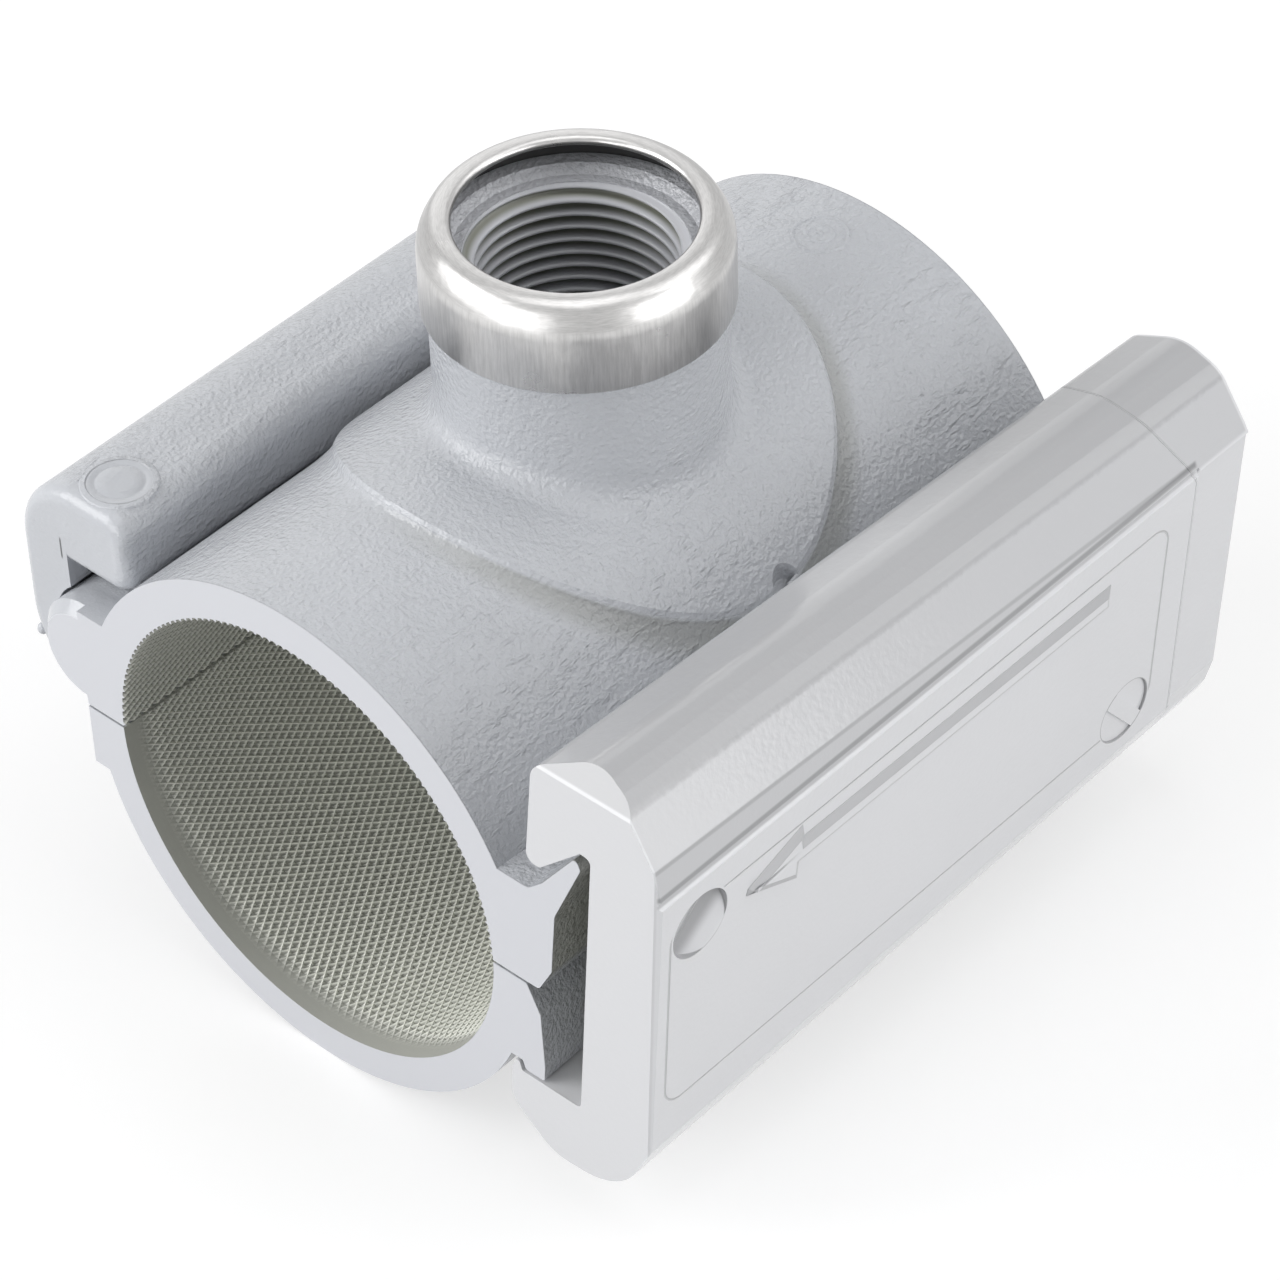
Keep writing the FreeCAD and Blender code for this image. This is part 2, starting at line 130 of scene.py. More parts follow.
class SaddleFinishes(bpy.types.PropertyGroup):
    """Colours of the mouldings and of the collar"""

    shell: bpy.props.FloatVectorProperty(
        name="Shell", description="Grey of the two halves", subtype="COLOR", size=3,
        min=0, max=1, default=(0.53, 0.545, 0.575))
    cut_face: bpy.props.FloatVectorProperty(
        name="Cut face", description="Paler grey of the end faces", subtype="COLOR", size=3,
        min=0, max=1, default=(0.64, 0.65, 0.685))
    # Painted shade: the lining's darker olive grey stands in for the shade in the bore
    lining: bpy.props.FloatVectorProperty(
        name="Lining", description="Grey of the knurled lining", subtype="COLOR", size=3,
        min=0, max=1, default=(0.50, 0.505, 0.465))
    thread_root: bpy.props.FloatVectorProperty(
        name="Thread root", description="Shaded olive grey between the turns of the thread", subtype="COLOR",
        size=3, min=0, max=1, default=(0.25, 0.255, 0.215))
    # Painted shade: olive grey standing in for the shade inside the wedge's slot, on the ears and round the pad's
    # foot
    hollow_shade: bpy.props.FloatVectorProperty(
        name="Hollow", description="Duller olive grey of the faces inside the wedge's slot", subtype="COLOR",
        size=3, min=0, max=1, default=(0.42, 0.425, 0.395))
    # Painted shade: near black standing in for the shade on the collar's inner side
    steel_inside_shade: bpy.props.FloatVectorProperty(
        name="Steel inside", description="Dark unpolished inner side of the collar", subtype="COLOR",
        size=3, min=0, max=1, default=(0.10, 0.10, 0.10))
    wedge: bpy.props.FloatVectorProperty(
        name="Wedge", description="Light grey of the wedge", subtype="COLOR", size=3,
        min=0, max=1, default=(0.76, 0.765, 0.785))
    steel: bpy.props.FloatVectorProperty(
        name="Steel", description="Tint of the stainless collar", subtype="COLOR", size=3,
        min=0, max=1, default=(0.47, 0.465, 0.46))
    rubber: bpy.props.FloatVectorProperty(
        name="Rubber", description="Black of the seal", subtype="COLOR", size=3,
        min=0, max=1, default=(0.02, 0.02, 0.021))


class SaddleSizes(bpy.types.PropertyGroup):
    """Sizes of the knurl, the thread and the marks"""

    arrow_length: bpy.props.FloatProperty(
        name="Arrow length", description="Length of the raised arrow on the wedge",
        subtype="DISTANCE", unit="LENGTH", default=65.0 * MM)
    arrow_height: bpy.props.FloatProperty(
        name="Arrow height", description="How far the arrow stands out of the wedge's face",
        subtype="DISTANCE", unit="LENGTH", default=0.6 * MM)
    pin_mark_radius: bpy.props.FloatProperty(
        name="Pin mark radius", description="Radius of the round mark that the mould's pin left on the hook",
        subtype="DISTANCE", unit="LENGTH", default=4.8 * MM)
    skirt_reach: bpy.props.FloatProperty(
        name="Pad skirt reach", description="How far the blend below the pad's edge runs out on the barrel",
        subtype="DISTANCE", unit="LENGTH", default=3.4 * MM)
    root_reach: bpy.props.FloatProperty(
        name="Neck root reach", description="How far the rounding at the foot of the neck runs up and out",
        subtype="DISTANCE", unit="LENGTH", default=2.85 * MM)
    knurl_teeth: bpy.props.IntProperty(
        name="Knurl teeth", description="Diamonds round the whole bore", min=40, max=400, default=163)
    knurl_length: bpy.props.FloatProperty(
        name="Diamond length", description="Length of one diamond along the pipe",
        subtype="DISTANCE", unit="LENGTH", default=1.96 * MM)
    knurl_height: bpy.props.FloatProperty(
        name="Knurl height", description="How far the ridges stand in from the bore",
        subtype="DISTANCE", unit="LENGTH", default=0.34 * MM)
    thread_pitch: bpy.props.FloatProperty(
        name="Thread pitch", description="Distance between the turns of the outlet's thread",
        subtype="DISTANCE", unit="LENGTH", default=1.814 * MM)
    thread_depth: bpy.props.FloatProperty(
        name="Thread depth", description="Radial depth of the turns",
        subtype="DISTANCE", unit="LENGTH", default=1.36 * MM)


def mesh_object(name, points, faces, body, materials, smooth=True, merge=False):
    """Object at the origin from an (n, 3) array of points and an array or list of faces.
    With merge, points that coincide become one and the faces that shrink to nothing go."""
    mesh = bpy.data.meshes.new(name)
    mesh.from_pydata(points.tolist(), [], faces.tolist() if isinstance(faces, np.ndarray) else faces)
    if merge:
        clean = bmesh.new()
        clean.from_mesh(mesh)
        bmesh.ops.remove_doubles(clean, verts=clean.verts, dist=0.002 * MM)
        clean.to_mesh(mesh)
        clean.free()
    mesh.validate()
    mesh.polygons.foreach_set("use_smooth", np.full(len(mesh.polygons), smooth))
    for material in materials:
        mesh.materials.append(material)
    mesh.update()
    piece = bpy.data.objects.new(name, mesh)
    bpy.context.scene.collection.objects.link(piece)
    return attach(piece, body)


def set_slots(piece, slots):
    """Give each face of the piece the material slot of that number."""
    piece.data.polygons.foreach_set("material_index", slots.astype(np.int32))


def grid_quads(rows, columns, closed=False, ring=False):
    """Quads between neighbouring points of a rows by columns grid, numbered row by row.
    With closed, the last column joins the first, and with ring the last row joins the first."""
    row = np.arange(rows if ring else rows - 1)[:, None]
    column = np.arange(columns if closed else columns - 1)[None, :]
    above, following = (row + 1) % rows, (column + 1) % columns
    corners = [row * columns + column, row * columns + following,
               above * columns + following, above * columns + column]
    return np.stack([c.ravel() for c in corners], axis=1)


def conic(start, corner, end, weight, steps):
    """Rounded corner from start to end, tangent to the lines that meet at the corner: the mean of the
    three points weighed (1 - t) squared, 2 w t (1 - t) and t squared. A weight w equal to the sine of
    half the corner's angle gives an arc of a circle. Steps run along a new first axis."""
    t = np.linspace(0, 1, steps).reshape((-1,) + (1,) * start.ndim)
    a, b, c = (1 - t) ** 2, 2 * weight * t * (1 - t), t ** 2
    return (a * start + b * corner + c * end) / (a + b + c)


def rounded_outline(corners, reaches, steps=6):
    """Closed outline from an (n, 2) array of corners, each rounded by a conic whose ends lie the corner's
    reach along its two sides."""
    back = np.roll(corners, 1, axis=0) - corners
    ahead = np.roll(corners, -1, axis=0) - corners
    back /= np.linalg.norm(back, axis=1, keepdims=True)
    ahead /= np.linalg.norm(ahead, axis=1, keepdims=True)
    weight = np.sqrt((1 - np.sum(back * ahead, axis=1, keepdims=True)) / 2)
    reach = np.asarray(reaches)[:, None]
    points = conic(corners + reach * back, corners, corners + reach * ahead, weight, steps)
    return points.transpose(1, 0, 2).reshape(-1, 2)


class ShaderTree:
    """Short way to place shader nodes in a tree."""

    def __init__(self, tree):
        self.tree = tree

    def add(self, kind, **values):
        node = self.tree.nodes.new(kind)
        for key, value in values.items():
            setattr(node, key, value)
        return node

    def link(self, source, target):
        self.tree.links.new(source, target)

    def put(self, socket, value):
        if isinstance(value, bpy.types.NodeSocket):
            self.link(value, socket)
        else:
            socket.default_value = value

    def math(self, operation, a, b=0.0):
        node = self.add("ShaderNodeMath", operation=operation)
        self.put(node.inputs[0], a)
        self.put(node.inputs[1], b)
        return node.outputs[0]

    def product(self, first, *others):
        for other in others:
            first = self.math("MULTIPLY", first, other)
        return first

    def rest(self, mask):
        """One less the mask."""
        return self.math("SUBTRACT", 1.0, mask)

    def length(self, a, b):
        """Root of the sum of the squares of a and b."""
        return self.math("SQRT", self.math("ADD", self.math("MULTIPLY", a, a), self.math("MULTIPLY", b, b)))

    def near(self, value, middle, outer, inner):
        """Mask of 1 where the value is within inner of the middle, and 0 beyond outer."""
        return self.ramp(self.math("ABSOLUTE", self.math("SUBTRACT", value, middle)), outer, inner)

    def mix(self, factor, a, b):
        node = self.add("ShaderNodeMix", data_type="RGBA")
        self.put(node.inputs[0], factor)
        self.put(node.inputs[6], a)
        self.put(node.inputs[7], b)
        return node.outputs[2]

    def noise(self, vector, scale, detail=3.0, roughness=0.5):
        node = self.add("ShaderNodeTexNoise")
        self.put(node.inputs["Vector"], vector)
        node.inputs["Scale"].default_value = scale
        node.inputs["Detail"].default_value = detail
        node.inputs["Roughness"].default_value = roughness
        return node.outputs["Fac"]

    def ramp(self, value, low, high):
        """Smooth step from 0 at low to 1 at high, which may lie below low."""
        node = self.add("ShaderNodeMapRange", interpolation_type="SMOOTHSTEP", clamp=True)
        self.put(node.inputs[0], value)
        node.inputs[1].default_value = low
        node.inputs[2].default_value = high
        return node.outputs[0]

    def bump(self, height, strength, distance, normal=None):
        node = self.add("ShaderNodeBump")
        node.inputs["Strength"].default_value = strength
        node.inputs["Distance"].default_value = distance
        self.put(node.inputs["Height"], height)
        if normal is not None:
            self.link(normal, node.inputs["Normal"])
        return node.outputs["Normal"]


def rgba(colour, gain=1.0):
    """Colour times gain, with an alpha of 1."""
    return tuple(min(1.0, c * gain) for c in colour) + (1.0,)


def effect_group(name, inputs, outputs):
    """Empty shader node group with float inputs {name: default} and outputs [(name, socket type)]."""
    group = bpy.data.node_groups.new(name, "ShaderNodeTree")
    for label, default in inputs.items():
        socket = group.interface.new_socket(name=label, in_out="INPUT", socket_type="NodeSocketFloat")
        socket.default_value = default
    for label, kind in outputs:
        group.interface.new_socket(name=label, in_out="OUTPUT", socket_type=kind)
    return group


def pebble_group():
    """Moulded skin: fine pebbles, broader flow waves, and drawn-out streaks where the melt met, all as
    heights, and a slow cloud for the colour."""
    group = bpy.data.node_groups.get("moulded_skin")
    if group:
        return group
    group = effect_group("moulded_skin", {"Pebble": 900.0, "Flow": 60.0, "Streaks": 0.0},
                         [("Height", "NodeSocketFloat"), ("Cloud", "NodeSocketFloat")])
    n = ShaderTree(group)
    entry = n.add("NodeGroupInput")
    leave = n.add("NodeGroupOutput")
    place = n.add("ShaderNodeTexCoord").outputs["Object"]
    pebble = n.add("ShaderNodeTexNoise")
    n.link(place, pebble.inputs["Vector"])
    n.link(entry.outputs["Pebble"], pebble.inputs["Scale"])
    pebble.inputs["Detail"].default_value = 2.0
    flow = n.add("ShaderNodeTexNoise")
    n.link(place, flow.inputs["Vector"])
    n.link(entry.outputs["Flow"], flow.inputs["Scale"])
    flow.inputs["Detail"].default_value = 3.0
    flow.inputs["Distortion"].default_value = 0.6
    drawn = n.add("ShaderNodeMapping")
    n.link(place, drawn.inputs["Vector"])
    drawn.inputs["Rotation"].default_value = (0.0, 0.0, math.radians(35))
    drawn.inputs["Scale"].default_value = (1.0, 0.28, 1.0)
    streak = n.ramp(n.noise(drawn.outputs[0], 800.0, 3.0, 0.6), 0.50, 0.75)
    patch = n.ramp(n.noise(place, 34.0, 2.0, 0.5), 0.42, 0.62)
    streak = n.product(streak, patch, entry.outputs["Streaks"])
    height = n.math("ADD", pebble.outputs["Fac"], n.math("MULTIPLY", flow.outputs["Fac"], 0.8))
    n.link(n.math("ADD", height, streak), leave.inputs["Height"])
    n.link(n.noise(place, 26.0, 4.0, 0.6), leave.inputs["Cloud"])
    return group


def new_material(name):
    """Material with a Principled shader, its node maker and the shader."""
    material = bpy.data.materials.new(name)
    material.use_nodes = True
    tree = material.node_tree
    tree.nodes.clear()
    n = ShaderTree(tree)
    shader = n.add("ShaderNodeBsdfPrincipled")
    output = n.add("ShaderNodeOutputMaterial")
    n.link(shader.outputs[0], output.inputs[0])
    return material, n, shader


def use_group(n, group, **values):
    """Node of the group with its inputs set by name."""
    node = n.add("ShaderNodeGroup", node_tree=group)
    for key, value in values.items():
        node.inputs[key].default_value = value
    return node


def axes(n):
    """Object coordinates as three separate values, in metres."""
    place = n.add("ShaderNodeTexCoord").outputs["Object"]
    split = n.add("ShaderNodeSeparateXYZ")
    n.link(place, split.inputs[0])
    return place, split.outputs[0], split.outputs[1], split.outputs[2]


def shell_material():
    """Grey moulded plastic: pebbled and glossy outside, calmer on the hook's front end and on its pin mark,
    paler and smooth on the cut end faces, paler in the outlet's mouth as painted light, darker in the bore, on
    the ears and round the foot of the pad as painted shade, with a hairline crack beside the hook's slot."""
    look = bpy.context.scene.saddle_finishes
    material, n, shader = new_material("moulded_grey_plastic")
    skin = use_group(n, pebble_group(), Pebble=1500.0, Flow=110.0, Streaks=0.55)
    place, x, y, z = axes(n)
    upright = n.length(x, y)
    ends = n.ramp(n.math("ABSOLUTE", y), SHELL_HALF - 0.10 * MM, SHELL_HALF - 0.04 * MM)
    # Painted light: the outlet's mouth takes the paler cut face grey
    mouth = n.product(n.ramp(upright, NECK_RADIUS - 0.5 * MM, NECK_RADIUS - 0.7 * MM),
                      n.ramp(z, 55.0 * MM, 55.6 * MM))
    # Painted shade: the bore's faces take the darker lining grey
    inside = n.product(n.ramp(n.length(x, z), BORE_RADIUS + 0.30 * MM, BORE_RADIUS + 0.05 * MM), n.rest(ends))
    # Painted shade on the ears' faces inside the wedge's slot
    ears = n.product(n.ramp(x, 37.6 * MM, 39.0 * MM), n.rest(ends))
    # Painted shade in the hollow round the pad's foot
    foot = n.product(n.ramp(upright, PAD_EDGE + 3.6 * MM, PAD_EDGE + 0.8 * MM),
                     n.ramp(upright, PAD_EDGE - 0.05 * MM, PAD_EDGE + 0.15 * MM),
                     n.ramp(x, -12.0 * MM, 20.0 * MM), n.ramp(z, 18.0 * MM, 20.0 * MM), n.rest(inside), 0.6)
    crack = n.product(n.near(x, -41.9 * MM, 0.20 * MM, 0.08 * MM), n.near(z, 19.4 * MM, 1.9 * MM, 1.2 * MM),
                      n.ramp(y, -46.0 * MM, -46.3 * MM))
    colour = n.mix(n.ramp(skin.outputs["Cloud"], 0.3, 0.7), rgba(look.shell, 0.965), rgba(look.shell, 1.03))
    for mask, other in ((n.math("MAXIMUM", ends, mouth), rgba(look.cut_face)), (inside, rgba(look.lining)),
                        (ears, rgba(look.hollow_shade)), (foot, rgba(look.hollow_shade, 0.72)),
                        (crack, rgba(look.shell, 0.2))):
        colour = n.mix(mask, colour, other)
    n.link(colour, shader.inputs["Base Color"])
    rough = n.math("ADD", 0.14, n.math("MULTIPLY", skin.outputs["Cloud"], 0.16))
    rough = n.math("ADD", rough, n.math("MULTIPLY", ends, 0.26))
    n.link(rough, shader.inputs["Roughness"])
    shader.inputs["IOR"].default_value = 1.5
    front = n.product(n.ramp(y, -43.0 * MM, -45.5 * MM), n.ramp(x, -30.0 * MM, -33.0 * MM))
    away = n.length(*[n.math("SUBTRACT", v, spot) for v, spot in zip((x, y), HOOK_PIN_PLACE)])
    disc = n.product(n.ramp(away, 4.2 * MM, 3.9 * MM), n.ramp(z, 20.0 * MM, 22.0 * MM))
    calm = n.math("MAXIMUM", ends, n.math("MULTIPLY", n.math("MAXIMUM", front, disc), 0.9))
    height = n.product(skin.outputs["Height"], n.rest(n.math("MULTIPLY", calm, 0.94)))
    n.link(n.bump(height, 1.0, 0.30 * MM), shader.inputs["Normal"])
    return material


def thread_material():
    """Grey plastic of the outlet's bore, pale on the crests of the turns and olive dark in their roots as painted
    shade.
    """
    look = bpy.context.scene.saddle_finishes
    material, n, shader = new_material("thread_plastic")
    place, x, y, z = axes(n)
    # Painted shade in the roots of the turns
    root = n.ramp(n.length(x, y), THREAD_RADIUS - 1.25 * MM, THREAD_RADIUS - 0.45 * MM)
    root = n.product(root, n.rest(n.ramp(z, THREAD_TOP - 1.1 * MM, THREAD_TOP - 0.4 * MM)))
    n.link(n.mix(root, rgba(look.cut_face), rgba(look.thread_root)), shader.inputs["Base Color"])
    shader.inputs["Roughness"].default_value = 0.3
    skin = use_group(n, pebble_group(), Pebble=900.0, Flow=60.0)
    n.link(n.bump(skin.outputs["Height"], 0.3, 0.06 * MM), shader.inputs["Normal"])
    return material


def lining_material():
    """Darker olive grey of the knurled lining as painted shade of the bore, darker still in the cells as painted
    shade, and paler on the ridges and towards the bottom as painted light."""
    look = bpy.context.scene.saddle_finishes
    material, n, shader = new_material("knurled_lining_plastic")
    skin = use_group(n, pebble_group(), Pebble=1500.0, Flow=90.0)
    place, x, y, z = axes(n)
    # Painted shade in the cells, painted light on the ridges and towards the bottom
    crest = n.ramp(n.length(x, z), BORE_RADIUS - 0.06 * MM, BORE_RADIUS - 0.28 * MM)
    lit_bottom = n.ramp(z, 24.0 * MM, -28.0 * MM)
    cells = n.mix(lit_bottom, rgba(look.lining, 0.60), rgba(look.lining, 1.02))
    ridges = n.mix(lit_bottom, rgba(look.lining, 1.12), rgba(look.lining, 1.75))
    n.link(n.mix(crest, cells, ridges), shader.inputs["Base Color"])
    shader.inputs["Roughness"].default_value = 0.45
    n.link(n.bump(skin.outputs["Height"], 0.25, 0.05 * MM), shader.inputs["Normal"])
    return material


def frame_line(n, y, z, low, high, corner):
    """Mask of a thin line round the rectangle from low to high (y, z) with rounded corners."""
    half = [(high[i] - low[i]) / 2 - corner for i in (0, 1)]
    middle = [(high[i] + low[i]) / 2 for i in (0, 1)]
    out = [n.math("MAXIMUM", n.math("SUBTRACT", n.math("ABSOLUTE", n.math("SUBTRACT", v, m)), h), 0.0)
           for v, m, h in zip((y, z), middle, half)]
    return n.near(n.length(*out), corner, 0.22 * MM, 0.02 * MM)


def wedge_material():
    """Light grey glossy plastic with a fine orange peel. The top is greyer than the shoulder and the
    shoulder than the face as painted shade, and the front end face is a little darker. Painted shade darkens the
    crease, the shoulder's groove and edge, the pin marks, the panel's outline and the faces in the slot. The
    mould's parting line stands up across the top, and the outline of a panel is cut in the face."""
    look = bpy.context.scene.saddle_finishes
    material, n, shader = new_material("glossy_wedge_plastic")
    skin = use_group(n, pebble_group(), Pebble=1300.0, Flow=45.0)
    place, x, y, z = axes(n)
    colour = n.mix(n.ramp(skin.outputs["Cloud"], 0.3, 0.7), rgba(look.wedge, 0.985), rgba(look.wedge, 1.015))
    sides = n.near(y, 2.4 * MM, 52.5 * MM, 52.2 * MM)
    ragged = n.math("ADD", x, n.math("MULTIPLY", skin.outputs["Height"], 0.35 * MM))
    # Painted shade: the shoulder and the top are darker copies of the wedge's grey
    shoulder = n.product(n.ramp(z, SHOULDER_Z + 0.1 * MM, SHOULDER_Z + 0.6 * MM), sides)
    top = n.product(n.ramp(ragged, 52.75 * MM, 52.35 * MM), sides, n.ramp(z, 25.0 * MM, 28.0 * MM))
    # The front end face is a little darker
    darker_front_end = n.ramp(y, -49.9 * MM, -50.1 * MM)
    for mask, gain in ((shoulder, 0.79), (top, 0.64), (darker_front_end, 0.92)):
        colour = n.mix(mask, colour, rgba(look.wedge, gain))
    # Painted shade along the crease, the shoulder's groove and the shoulder's edge
    drop = n.math("MULTIPLY", n.math("ADD", y, SHELL_HALF), CREASE_DROP)
    crease = n.near(n.math("ADD", z, drop), CREASE_Z, 0.45 * MM, 0.10 * MM)
    groove = n.near(z, GROOVE_Z, 0.55 * MM, 0.15 * MM)
    edge = n.near(z, SHOULDER_Z, 0.40 * MM, 0.10 * MM)
    outer = n.product(n.ramp(x, 54.2 * MM, 54.8 * MM), n.ramp(y, 45.6 * MM, 45.0 * MM), sides)
    for mask, share in ((crease, 0.30), (groove, 0.55), (edge, 0.32)):
        colour = n.mix(n.product(mask, outer, share), colour, rgba(look.wedge, 0.2))
    # Painted shade along the panel's cut outline
    panel = n.product(n.ramp(x, 52.5 * MM, 53.2 * MM), frame_line(n, y, z, PANEL_LOW, PANEL_HIGH, PANEL_CORNER))
    depth = n.math("SUBTRACT", n.math("ADD", FACE_X, n.math("MULTIPLY", z, FACE_LEAN)), x)
    # Painted shade in the pin marks' recesses and on their walls
    for mark in PIN_MARKS:
        away = n.length(*[n.math("SUBTRACT", v, spot) for v, spot in zip((y, z), mark)])
        panel = n.product(panel, n.ramp(away, PIN_MARK_EDGE + 0.2 * MM, PIN_MARK_EDGE + 0.4 * MM))
        wall = n.product(n.ramp(away, PIN_MARK_EDGE - 0.20 * MM, PIN_MARK_EDGE - 0.05 * MM),
                         n.ramp(depth, 0.05 * MM, 0.15 * MM))
        sunk = n.product(n.math("MAXIMUM", wall, n.ramp(depth, 0.64 * MM, 1.4 * MM)),
                         n.ramp(away, PIN_MARK_EDGE + 0.15 * MM, PIN_MARK_EDGE + 0.05 * MM))
        colour = n.mix(n.math("MULTIPLY", sunk, 0.6), colour, rgba(look.wedge, 0.3))
    colour = n.mix(n.math("MULTIPLY", panel, 0.35), colour, rgba(look.wedge, 0.3))
    # Painted shade on the faces inside the slot
    slot = n.product(n.ramp(x, 47.2 * MM, 46.8 * MM), n.ramp(n.math("ABSOLUTE", y), 50.0 * MM, 49.6 * MM),
                     n.near(z, 3.0 * MM, 18.0 * MM, 16.0 * MM))
    n.link(n.mix(slot, colour, rgba(look.hollow_shade)), shader.inputs["Base Color"])
    n.link(n.math("ADD", 0.10, n.math("MULTIPLY", skin.outputs["Cloud"], 0.08)), shader.inputs["Roughness"])
    shader.inputs["IOR"].default_value = 1.5
    below = n.math("MAXIMUM", n.math("SUBTRACT", 37.5 * MM, z), 0.0)
    seam_y = n.math("MINIMUM", n.math("ADD", 38.3 * MM, n.math("MULTIPLY", below, 0.5)), 45.3 * MM)
    seam = n.near(y, seam_y, 0.20 * MM, 0.04 * MM)
    raised = n.bump(n.math("SUBTRACT", seam, panel), 1.0, 0.12 * MM)
    n.link(n.bump(skin.outputs["Height"], 0.35, 0.06 * MM, raised), shader.inputs["Normal"])
    return material


def steel_material():
    """Satin stainless: fine lines round the top and upright drawing lines down the skirt, with the skirt painted
    lighter than the top as painted light.
    """
    look = bpy.context.scene.saddle_finishes
    material, n, shader = new_material("satin_stainless")
    place, x, y, z = axes(n)
    angle = n.math("ARCTAN2", y, x)
    radius = n.length(x, y)
    turned = n.add("ShaderNodeCombineXYZ")
    n.link(n.math("MULTIPLY", angle, 0.0018), turned.inputs[0])
    n.link(radius, turned.inputs[1])
    n.link(z, turned.inputs[2])
    drawn = n.add("ShaderNodeCombineXYZ")
    n.link(n.math("MULTIPLY", angle, 0.018), drawn.inputs[0])
    n.link(n.math("MULTIPLY", z, 0.07), drawn.inputs[1])
    rings = n.noise(turned.outputs[0], 7000.0, 3.0, 0.6)
    strokes = n.noise(drawn.outputs[0], 2600.0, 4.0, 0.7)
    skirt = n.ramp(radius, COLLAR_OUTER - 0.30 * MM, COLLAR_OUTER - 0.05 * MM)
    lines = n.mix(skirt, rings, strokes)
    wide = n.noise(place, 150.0, 3.0, 0.6)
    # Painted light: the skirt is lighter than the top
    low = n.mix(skirt, rgba(look.steel, 0.88), rgba(look.steel, 1.08))
    high = n.mix(skirt, rgba(look.steel, 1.1), rgba(look.steel, 1.42))
    bright = n.mix(n.ramp(lines, 0.25, 0.75), low, high)
    n.link(bright, shader.inputs["Base Color"])
    shader.inputs["Metallic"].default_value = 1.0
    n.link(n.math("ADD", 0.20, n.math("MULTIPLY", wide, 0.22)), shader.inputs["Roughness"])
    n.link(n.bump(lines, 0.35, 0.02 * MM, n.bump(wide, 0.5, 0.25 * MM)), shader.inputs["Normal"])
    return material


# Finishes of one colour: the colour's name, its gains where the skin's cloud is 0 and 1, roughness, metallic,
# the skin's pebble and flow scales, and the strength and distance of its bump
PLAIN_FINISHES = {
    "cut_face_plastic": ("cut_face", 0.98, 1.02, 0.55, 0.0, 1200.0, 40.0, 0.08, 0.05 * MM),
    # Painted shade for the arrow's sloping sides
    "soiled_wedge_plastic": ("wedge", 0.55, 0.68, 0.35, 0.0, 1600.0, 200.0, 0.3, 0.05 * MM),
    # Painted shade for the collar's inner faces
    "dull_stainless": ("steel_inside_shade", 0.8, 1.3, 0.5, 1.0, 1500.0, 120.0, 0.2, 0.04 * MM),
    "matte_black_rubber": ("rubber", 0.8, 1.3, 0.7, 0.0, 700.0, 80.0, 0.2, 0.08 * MM),
}


def plain_material(name):
    """Finish of one colour from its row in the table above."""
    tint, low, high, roughness, metallic, pebble, flow, strength, distance = PLAIN_FINISHES[name]
    colour = getattr(bpy.context.scene.saddle_finishes, tint)
    material, n, shader = new_material(name)
    skin = use_group(n, pebble_group(), Pebble=pebble, Flow=flow)
    n.link(n.mix(skin.outputs["Cloud"], rgba(colour, low), rgba(colour, high)), shader.inputs["Base Color"])
    shader.inputs["Roughness"].default_value = roughness
    shader.inputs["Metallic"].default_value = metallic
    n.link(n.bump(skin.outputs["Height"], strength, distance), shader.inputs["Normal"])
    return material


def finish(name):
    """Material of that name, made the first time it is asked for."""
    makers = {
        "moulded_grey_plastic": shell_material,
        "knurled_lining_plastic": lining_material,
        "thread_plastic": thread_material,
        "glossy_wedge_plastic": wedge_material,
        "satin_stainless": steel_material,
    }
    if name in bpy.data.materials:
        return bpy.data.materials[name]
    return makers[name]() if name in makers else plain_material(name)


class SADDLE_OT_finishes(bpy.types.Operator):
    """Give the five mouldings and rings their finishes"""

    bl_idname = "saddle.finishes"
    bl_label = "Finishes"

    def execute(self, context):
        wanted = {
            "upper_shell": "moulded_grey_plastic",
            "lower_shell": "moulded_grey_plastic",
            "locking_wedge": "glossy_wedge_plastic",
            "outlet_collar": "satin_stainless",
            "outlet_seal": "matte_black_rubber",
        }
        for node, name in wanted.items():
            mesh = frame["nodes"][node].data
            mesh.materials.clear()
            mesh.materials.append(finish(name))
        return {"FINISHED"}


